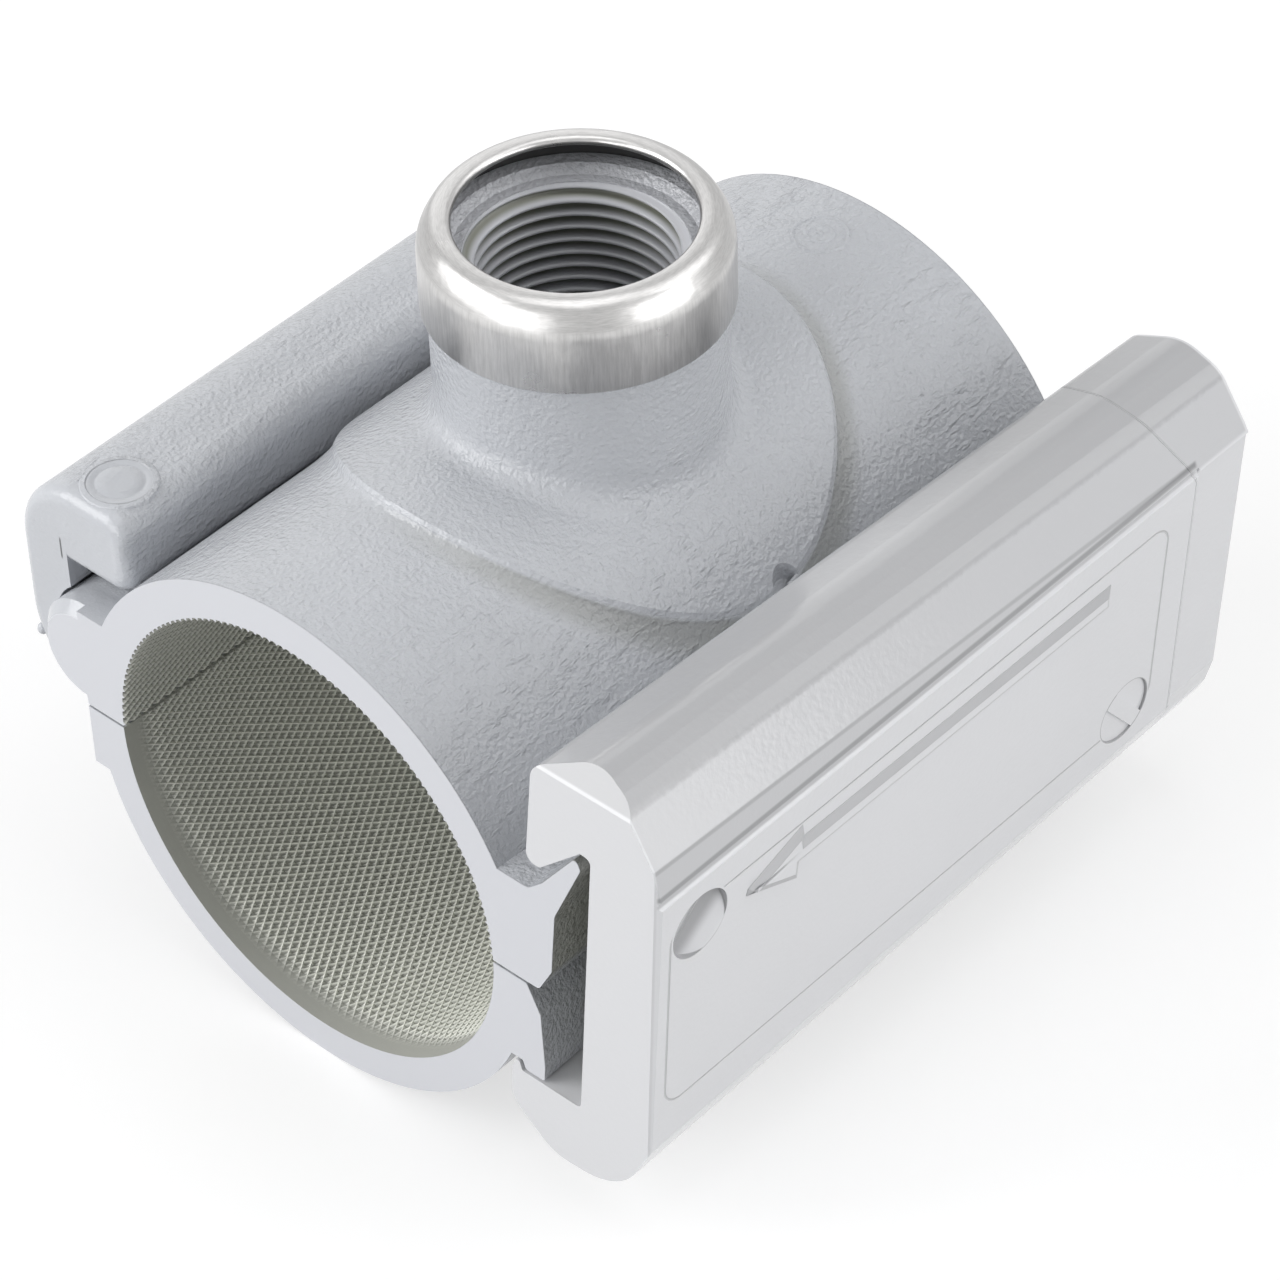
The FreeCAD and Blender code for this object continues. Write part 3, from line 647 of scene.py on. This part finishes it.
def knurl_sheet(name, first_angle, last_angle, plain_front, body):
    """Knurled sheet over half of the bore.

    Grid of points at angle a and length y, a quarter of a diamond apart both ways. Two families of
    ridges run where (a in teeth + y in diamonds) and (a in teeth - y in diamonds) are whole; a point
    on a ridge stands in from the bore by the ridge height, every other point lies on the bore. Quads
    are split along the diagonal that a ridge follows. A rim of points on the wall closes the edges. With
    a plain front the ridges rise over a short run-in behind it.
    """
    sizes = bpy.context.scene.saddle_sizes
    step = 2 * math.pi / (sizes.knurl_teeth * 4)
    across = np.arange(math.ceil(first_angle / step), math.floor(last_angle / step) + 1)
    along = np.arange(0, int(2 * SHELL_HALF / (sizes.knurl_length / 4)) + 1)
    angle = across * step
    y = -SHELL_HALF + along * sizes.knurl_length / 4
    y[-1] = SHELL_HALF
    i, j = np.meshgrid(across, along, indexing="ij")
    ridge = ((i + j) % 4 == 0) | ((i - j) % 4 == 0)
    rise = np.clip((y + SHELL_HALF - plain_front) / KNURL_RUN_IN, 0, 1) if plain_front > 0 else np.ones(len(y))
    radius = BORE_RADIUS - 0.03 * MM - ridge * rise[None, :] * sizes.knurl_height
    radius = np.pad(radius, 1, constant_values=BORE_RADIUS)
    angle = np.pad(angle, 1, mode="edge")
    y = np.pad(y, 1, mode="edge")
    points = np.stack([radius * np.cos(angle)[:, None], np.broadcast_to(y, radius.shape),
                       radius * np.sin(angle)[:, None]], axis=-1).reshape(-1, 3)
    quads = grid_quads(*radius.shape)
    row, column = np.divmod(quads[:, 0], radius.shape[1])
    total = row - 1 + across[0] + column - 1
    other = (total + 1) % 4 == 0
    a, b, c, d = quads.T
    lead = np.where(other[:, None], np.stack([a, b, d], 1), np.stack([a, b, c], 1))
    rest = np.where(other[:, None], np.stack([b, c, d], 1), np.stack([a, c, d], 1))
    faces = np.concatenate([lead, rest])[:, ::-1]
    piece = mesh_object(name, points, faces, body,
                        [finish("knurled_lining_plastic"), finish("cut_face_plastic")], smooth=False)
    ends = (column == 0) | (column == radius.shape[1] - 2)
    set_slots(piece, np.concatenate([ends, ends]))
    return piece


class SADDLE_OT_lining(bpy.types.Operator):
    """Knurl the bore of both halves"""

    bl_idname = "saddle.lining"
    bl_label = "Knurled lining"

    def execute(self, context):
        edge = 0.25 * MM / BORE_RADIUS
        knurl_sheet("knurl_upper", edge, math.pi - edge, 0.0, "saddle")
        knurl_sheet("knurl_lower", math.pi + edge, 2 * math.pi - edge, 2.2 * MM, "saddle")
        return {"FINISHED"}


def face_place(along, up, out):
    """Point of the wedge's outer face at y, z, standing out of it by out."""
    return np.stack([FACE_X + FACE_LEAN * up + out, along, up], axis=-1)


def inset(outline, distance):
    """Outline moved inwards by a distance: each corner slides along the sum of its two sides' inward
    normals, divided by one plus their dot product."""
    side = np.roll(outline, -1, axis=0) - outline
    side /= np.linalg.norm(side, axis=1, keepdims=True)
    normal = np.stack([-side[:, 1], side[:, 0]], axis=1)
    before = np.roll(normal, 1, axis=0)
    share = 1 + np.sum(normal * before, axis=1, keepdims=True)
    return outline + distance * (normal + before) / share


def raised_plate(name, outline, height, body, materials):
    """Plate with sloping sides on the wedge's face: outlines at foot, shoulder and top, one in the other.
    The first material is the top's and the second the slopes'."""
    count = len(outline)
    rings = [(outline, -0.2 * MM), (outline, 0.0), (inset(outline, 1.0 * MM), height * 0.9),
             (inset(outline, 1.15 * MM), height)]
    points = np.concatenate([face_place(ring[:, 0], ring[:, 1], np.full(count, out)) for ring, out in rings])
    faces = grid_quads(len(rings), count, closed=True).tolist()
    faces.append([count * (len(rings) - 1) + k for k in range(count)])
    piece = mesh_object(name, points, faces, body, materials, smooth=False)
    set_slots(piece, np.arange(len(faces)) < len(faces) - 1)
    return piece


class SADDLE_OT_wedge_marks(bpy.types.Operator):
    """Raise the driving arrow on the wedge's face"""

    bl_idname = "saddle.wedge_marks"
    bl_label = "Wedge marks"

    def execute(self, context):
        sizes = context.scene.saddle_sizes
        tail = sizes.arrow_length / MM
        outline = np.array([(0, -0.4), (8.8, -4.3), (9.0, -1.8), (tail, -1.9), (tail, 1.6),
                            (9.8, 1.8), (9.4, 3.8), (0.3, 0.5)]) * MM
        arrow = outline + (ARROW_TIP, ARROW_MIDDLE)
        # The slopes take a darker grey, painted shade
        raised_plate("driving_arrow", arrow, sizes.arrow_height, "wedge",
                     [finish("glossy_wedge_plastic"), finish("soiled_wedge_plastic")])
        return {"FINISHED"}


def lathe(name, profile, centre, around, body, material, lean=None, ring=False):
    """Surface turned about an upright axis: profile is an array of (radius, z), outermost first, centre
    the axis's x and y. lean adds a height that depends on x and y, and ring closes the profile."""
    turn = np.arange(around) * 2 * math.pi / around
    radius, z = profile[:, 0][:, None], profile[:, 1][:, None]
    points = np.stack([centre[0] + radius * np.cos(turn), centre[1] + radius * np.sin(turn),
                       z + 0 * turn], axis=-1)
    if lean is not None:
        points[..., 2] += lean(points[..., 0], points[..., 1])
    faces = grid_quads(len(profile), around, closed=True, ring=ring)
    return mesh_object(name, points.reshape(-1, 3), faces, body, [material], merge=True)


class SADDLE_OT_collar(bpy.types.Operator):
    """Turn the pressed steel collar with its rolled edges in place of its plain solid"""

    bl_idname = "saddle.collar"
    bl_label = "Outlet collar"

    def execute(self, context):
        """The section is the solid's own, counter-clockwise from the foot of the skirt: skirt, sloped
        shoulder, flat top, lip, and the inner side a wall's thickness in. Each corner is rounded by its
        own reach. Faces under the shoulder and behind the lip get a near black steel finish, which is painted
        shade."""
        low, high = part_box("outlet_collar")
        foot, top, outer = low[2], high[2], COLLAR_OUTER
        knee = top - 3.0 * MM
        opening = 14.2 * MM
        wall = 0.8 * MM
        section = np.array([(outer, foot), (outer, knee), (outer - 1.7 * MM, top), (opening, top),
                            (opening, top - 1.0 * MM), (opening + wall, top - 1.0 * MM),
                            (outer - 2.1 * MM, top - wall), (outer - wall, knee - 0.2 * MM), (outer - wall, foot)])
        reaches = np.array([0.2, 1.3, 1.25, 0.7, 0.15, 0.1, 0.4, 0.5, 0.2]) * MM
        outline = rounded_outline(section, reaches)
        piece = lathe("pressed_collar", outline, (0.0, 0.0), 160, "saddle",
                      finish("satin_stainless"), ring=True)
        # Second slot: the near black painted shade under the shoulder and behind the lip
        piece.data.materials.append(finish("dull_stainless"))
        spots = np.empty(len(piece.data.polygons) * 3)
        piece.data.polygons.foreach_get("center", spots)
        away, height = np.hypot(spots[0::3], spots[1::3]), spots[2::3]
        reach = np.minimum(outer - 0.6 * MM, outer - 0.45 * (height - knee) - 0.55 * MM)
        set_slots(piece, (height < top - 0.95 * MM) & (away < reach))
        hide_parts("outlet_collar")
        return {"FINISHED"}


def blend_skin(name, turn, wall, far, ground, leave, tuck, steps, closed=False):
    """Hollow skin round the outlet's axis, from an upright wall to a barrel-shaped ground.

    At angle a the ground's height at radius r is the root of its own radius squared less (r cos a)
    squared. The skin meets the ground at radius far, and its tangent there reaches the wall at the
    corner. A conic runs from the wall at the height leave(corner) to the ground, and is an arc of a
    circle where both reaches are the same. The first row is tucked into the wall by the two lengths of
    tuck, and the last lies a little further out, just below the ground. Angles more than 5 degrees apart
    leave a gap.
    """
    level = lambda radius: np.sqrt(ground ** 2 - (radius * np.cos(turn)) ** 2)
    row = lambda radius, z: np.stack([radius + 0 * turn, z], axis=-1)
    fall = far * np.cos(turn) ** 2 / level(far)
    corner = level(far) + fall * (far - wall)
    start = leave(corner)
    weight = np.sin((math.pi / 2 + np.arctan(fall)) / 2)[:, None]
    line = conic(row(wall, start), row(wall, np.minimum(corner, start)), row(far, level(far)), weight, steps)
    past = far + 0.6 * MM
    rows = np.stack([row(wall - tuck[0], start + tuck[1]), *(line + 0.01 * MM),
                     row(past, level(past) - 0.05 * MM)])
    points = np.stack([rows[..., 0] * np.cos(turn), rows[..., 0] * np.sin(turn), rows[..., 1]], axis=-1)
    faces = grid_quads(len(rows), len(turn), closed=closed)[:, ::-1]
    gap = np.diff(turn, append=turn[-1]) > math.radians(5)
    faces = faces[~gap[faces.min(axis=1) % len(turn)]] if gap.any() else faces
    return mesh_object(name, points.reshape(-1, 3), faces, "saddle",
                       [finish("moulded_grey_plastic")])


class SADDLE_OT_neck_root(bpy.types.Operator):
    """Round the foot of the neck into the pad"""

    bl_idname = "saddle.neck_root"
    bl_label = "Neck root"

    def execute(self, context):
        """The rounding leaves the neck's wall one reach above the corner and meets the pad one reach
        further out along the pad's tangent, whose slope at angle a is the radius times cos a squared
        over the pad's height."""
        reach = context.scene.saddle_sizes.root_reach
        count = 144
        turn = np.arange(count) * 2 * math.pi / count
        height = np.sqrt(PAD_RADIUS ** 2 - (NECK_RADIUS * np.cos(turn)) ** 2)
        slope = np.arctan(NECK_RADIUS * np.cos(turn) ** 2 / height)
        blend_skin("neck_root", turn, NECK_RADIUS, NECK_RADIUS + reach * np.cos(slope), PAD_RADIUS,
                   lambda corner: corner + reach, (0.05 * MM, 0.6 * MM), 10, closed=True)
        return {"FINISHED"}


class SADDLE_OT_pad_skirt(bpy.types.Operator):
    """Blend the pad's edge into the barrel"""

    bl_idname = "saddle.pad_skirt"
    bl_label = "Pad skirt"

    def execute(self, context):
        """The skirt leaves the pad's wall a little below the edge and meets the barrel one reach further
        out. Its reach shrinks to nothing beside the notch and the hook."""
        ends = np.radians([4.5, 164.0, 196.0, 351.0])
        turn = np.linspace(ends[0], ends[3], 200)
        turn = turn[np.abs(turn - math.pi) > math.pi - ends[1]]
        nearness = np.min(np.abs(turn[:, None] - ends), axis=1)
        reach = context.scene.saddle_sizes.skirt_reach * np.clip(nearness / math.radians(7), 0.05, 1.0)
        rim = np.sqrt(PAD_RADIUS ** 2 - (PAD_EDGE * np.cos(turn)) ** 2) - 0.5 * MM
        blend_skin("pad_skirt", turn, PAD_EDGE, PAD_EDGE + reach, BARREL_RADIUS,
                   lambda corner: rim, (0.3 * MM, 0.02 * MM), 9)
        return {"FINISHED"}


class SADDLE_OT_mould_marks(bpy.types.Operator):
    """Add the pin mark and the gate's stub on the hook and the mould's dial on the barrel"""

    bl_idname = "saddle.mould_marks"
    bl_label = "Mould marks"

    def execute(self, context):
        """The pin mark is a flat disc with a shallow ring, turned about an upright axis and sunk in the
        hook. The dial is two low rings and a hub that follow the barrel's crown, whose height falls by
        the square of x over twice the barrel's radius. The stub is a small ball on the hook's corner."""
        radius = context.scene.saddle_sizes.pin_mark_radius
        plastic = finish("moulded_grey_plastic")
        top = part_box("lower_shell")[1][2] + 0.12 * MM
        disc = np.array([(radius + 0.1 * MM, top - 4 * MM), (radius, top - 0.10 * MM), (radius - 0.15 * MM, top),
                         (3.25 * MM, top), (3.05 * MM, top - 0.12 * MM), (2.85 * MM, top),
                         (1.5 * MM, top - 0.03 * MM), (0.0, top - 0.03 * MM)])
        lathe("hook_pin_mark", disc, HOOK_PIN_PLACE, 96, "saddle", plastic)
        rings = np.array([(3.85, -0.2), (3.6, 0.14), (3.3, 0.14), (3.05, -0.2), (2.0, -0.2), (1.75, 0.12),
                          (1.5, 0.12), (1.25, -0.2), (0.45, -0.2), (0.4, 0.12), (0.0, 0.12)]) * MM
        lathe("mould_dial", rings + (0, BARREL_RADIUS), DIAL_PLACE, 64, "saddle", plastic,
              lambda x, y: -x * x / (2 * BARREL_RADIUS))
        half_turn = np.linspace(0, math.pi, 13)
        ball = np.stack([0.7 * np.sin(half_turn), 2.6 - 0.8 * np.cos(half_turn)], axis=1) * MM
        lathe("gate_stub", ball, STUB_PLACE, 24, "saddle", plastic)
        return {"FINISHED"}


class SADDLE_OT_thread(bpy.types.Operator):
    """Cut the turns of the outlet's thread"""

    bl_idname = "saddle.thread"
    bl_label = "Outlet thread"

    def execute(self, context):
        """Rows follow the helix: the point of row r at angle a lies (r / rows a turn + a / full turn)
        pitches up from the foot, and is held at the foot and the top where it would pass them, so the
        turns are cut off level. The radius falls from the root circle to the crest by a flattened
        triangle of the point's place in its turn. The turns fade in over the first pitch below the top,
        and the whole thread narrows downwards by 1 in 32."""
        sizes = context.scene.saddle_sizes
        pitch = sizes.thread_pitch
        per_turn, around = 14, 144
        turns = int(THREAD_LENGTH / pitch) + 3
        row = np.arange(turns * per_turn + 1)[:, None]
        turn = np.arange(around + 1)[None, :] / around
        foot = THREAD_TOP - THREAD_LENGTH
        z = np.clip(foot + (row / per_turn + turn - 1.5) * pitch, foot + 0.02 * MM, THREAD_TOP)
        place = ((z - foot) / pitch - turn + 1.5) % 1.0
        tooth = np.clip(1.22 - np.abs(place - 0.5) * 2 * 1.44, 0.0, 1.0)
        tooth *= np.clip((THREAD_TOP - z - 0.2 * MM) / (0.6 * MM), 0.0, 1.0)
        radius = THREAD_RADIUS - (THREAD_TOP - z) * THREAD_TAPER - tooth * sizes.thread_depth
        radius[[0, -1]] = THREAD_RADIUS + 0.01 * MM
        points = np.stack([radius * np.cos(2 * math.pi * turn), radius * np.sin(2 * math.pi * turn), z],
                          axis=-1).reshape(-1, 3)
        faces = grid_quads(len(row), around + 1)
        mesh_object("thread_turns", points, faces[:, ::-1], "saddle",
                    [finish("thread_plastic")], merge=True)
        return {"FINISHED"}


class SADDLE_OT_stage(bpy.types.Operator):
    """Pale floor, soft studio light and the camera"""

    bl_idname = "saddle.stage"
    bl_label = "Stage"

    def execute(self, context):
        scene = context.scene
        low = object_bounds()[0][2]
        floor_mesh = bpy.data.meshes.new("floor")
        corners = [(FLOOR_HALF * x, FLOOR_HALF * y, low) for x, y in ((-1, -1), (1, -1), (1, 1), (-1, 1))]
        floor_mesh.from_pydata(corners, [], [(0, 1, 2, 3)])
        floor = bpy.data.objects.new("floor", floor_mesh)
        scene.collection.objects.link(floor)
        floor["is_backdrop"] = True
        floor_mesh.materials.append(floor_material())
        stage_world(scene)
        for name, place, power in LAMPS:
            area_light(name, place, power)
        scene.view_settings.view_transform = "Standard"
        camera_data = bpy.data.cameras.new("camera")
        camera_data.sensor_width = SENSOR_WIDTH
        camera_data.lens = CAMERA_LENS
        camera_data.clip_start = 0.01
        camera = bpy.data.objects.new("camera", camera_data)
        scene.collection.objects.link(camera)
        camera.matrix_world = Matrix.Translation(CAMERA_PLACE) @ Matrix(CAMERA_TURN).to_4x4()
        scene.camera = camera
        return {"FINISHED"}


def floor_material():
    """Matte pale floor. To the camera and in reflections it is white where it is lit and grey in the
    shadow; for the light that it throws back it is plain matte."""
    material = bpy.data.materials.new("pale_floor")
    material.use_nodes = True
    n = ShaderTree(material.node_tree)
    n.tree.nodes.clear()
    matte = n.add("ShaderNodeBsdfDiffuse")
    matte.inputs[0].default_value = (FLOOR_GREY, FLOOR_GREY, FLOOR_GREY, 1)
    glow = n.add("ShaderNodeEmission")
    glow.inputs[1].default_value = FLOOR_GLOW
    both = n.add("ShaderNodeAddShader")
    n.link(matte.outputs[0], both.inputs[0])
    n.link(glow.outputs[0], both.inputs[1])
    n.link(seen_or_plain(n, matte, both), n.add("ShaderNodeOutputMaterial").inputs[0])
    return material


def seen_or_plain(n, plain, seen):
    """Shader that is seen on camera, glossy and transmission rays and plain on all others."""
    path = n.add("ShaderNodeLightPath")
    direct = n.math("MAXIMUM", path.outputs["Is Camera Ray"], path.outputs["Is Glossy Ray"])
    direct = n.math("MAXIMUM", direct, path.outputs["Is Transmission Ray"])
    mix = n.add("ShaderNodeMixShader")
    n.link(direct, mix.inputs[0])
    n.link(plain.outputs[0], mix.inputs[1])
    n.link(seen.outputs[0], mix.inputs[2])
    return mix.outputs[0]


def stage_world(scene):
    """Even studio light, white where the camera or a reflection sees it."""
    world = bpy.data.worlds.new("studio")
    scene.world = world
    world.use_nodes = True
    n = ShaderTree(world.node_tree)
    n.tree.nodes.clear()
    light = n.add("ShaderNodeBackground")
    light.inputs[0].default_value = WORLD_COLOUR
    light.inputs[1].default_value = WORLD_STRENGTH
    white = n.add("ShaderNodeBackground")
    white.inputs[0].default_value = (1, 1, 1, 1)
    n.link(seen_or_plain(n, light, white), n.add("ShaderNodeOutputWorld").inputs[0])


def area_light(name, place, power):
    """Square softbox at the place, turned to the object."""
    data = bpy.data.lights.new(name, "AREA")
    data.shape = "SQUARE"
    data.size = LAMP_SIZE
    data.energy = power
    lamp = bpy.data.objects.new(name, data)
    bpy.context.scene.collection.objects.link(lamp)
    aim = Vector(LAMP_AIM) - Vector(place)
    lamp.matrix_world = Matrix.Translation(place) @ aim.to_track_quat("-Z", "Y").to_matrix().to_4x4()


class SADDLE_PT_panel(bpy.types.Panel):
    """Lists the saddle's pieces"""

    bl_idname = "SADDLE_PT_panel"
    bl_label = "Tapping Saddle"
    bl_space_type = "VIEW_3D"
    bl_region_type = "UI"
    bl_category = "Saddle"

    def draw(self, context):
        for operator in OPERATORS:
            self.layout.operator(operator.bl_idname)
        for group in (context.scene.saddle_sizes, context.scene.saddle_finishes):
            for name in group.bl_rna.properties.keys():
                if name not in ("rna_type", "name"):
                    self.layout.prop(group, name)


OPERATORS = (SADDLE_OT_finishes, SADDLE_OT_lining, SADDLE_OT_thread, SADDLE_OT_collar, SADDLE_OT_neck_root,
             SADDLE_OT_pad_skirt, SADDLE_OT_wedge_marks, SADDLE_OT_mould_marks, SADDLE_OT_stage)
CLASSES = (SaddleFinishes, SaddleSizes) + OPERATORS + (SADDLE_PT_panel,)


def register():
    for item in CLASSES:
        bpy.utils.register_class(item)
    bpy.types.Scene.saddle_finishes = bpy.props.PointerProperty(type=SaddleFinishes)
    bpy.types.Scene.saddle_sizes = bpy.props.PointerProperty(type=SaddleSizes)


def unregister():
    del bpy.types.Scene.saddle_sizes
    del bpy.types.Scene.saddle_finishes
    for item in reversed(CLASSES):
        bpy.utils.unregister_class(item)


def main():
    register()
    bpy.ops.saddle.finishes()
    bpy.ops.saddle.lining()
    bpy.ops.saddle.thread()
    bpy.ops.saddle.collar()
    bpy.ops.saddle.neck_root()
    bpy.ops.saddle.pad_skirt()
    bpy.ops.saddle.wedge_marks()
    bpy.ops.saddle.mould_marks()
    bpy.ops.saddle.stage()


if __name__ == "__main__":
    main()
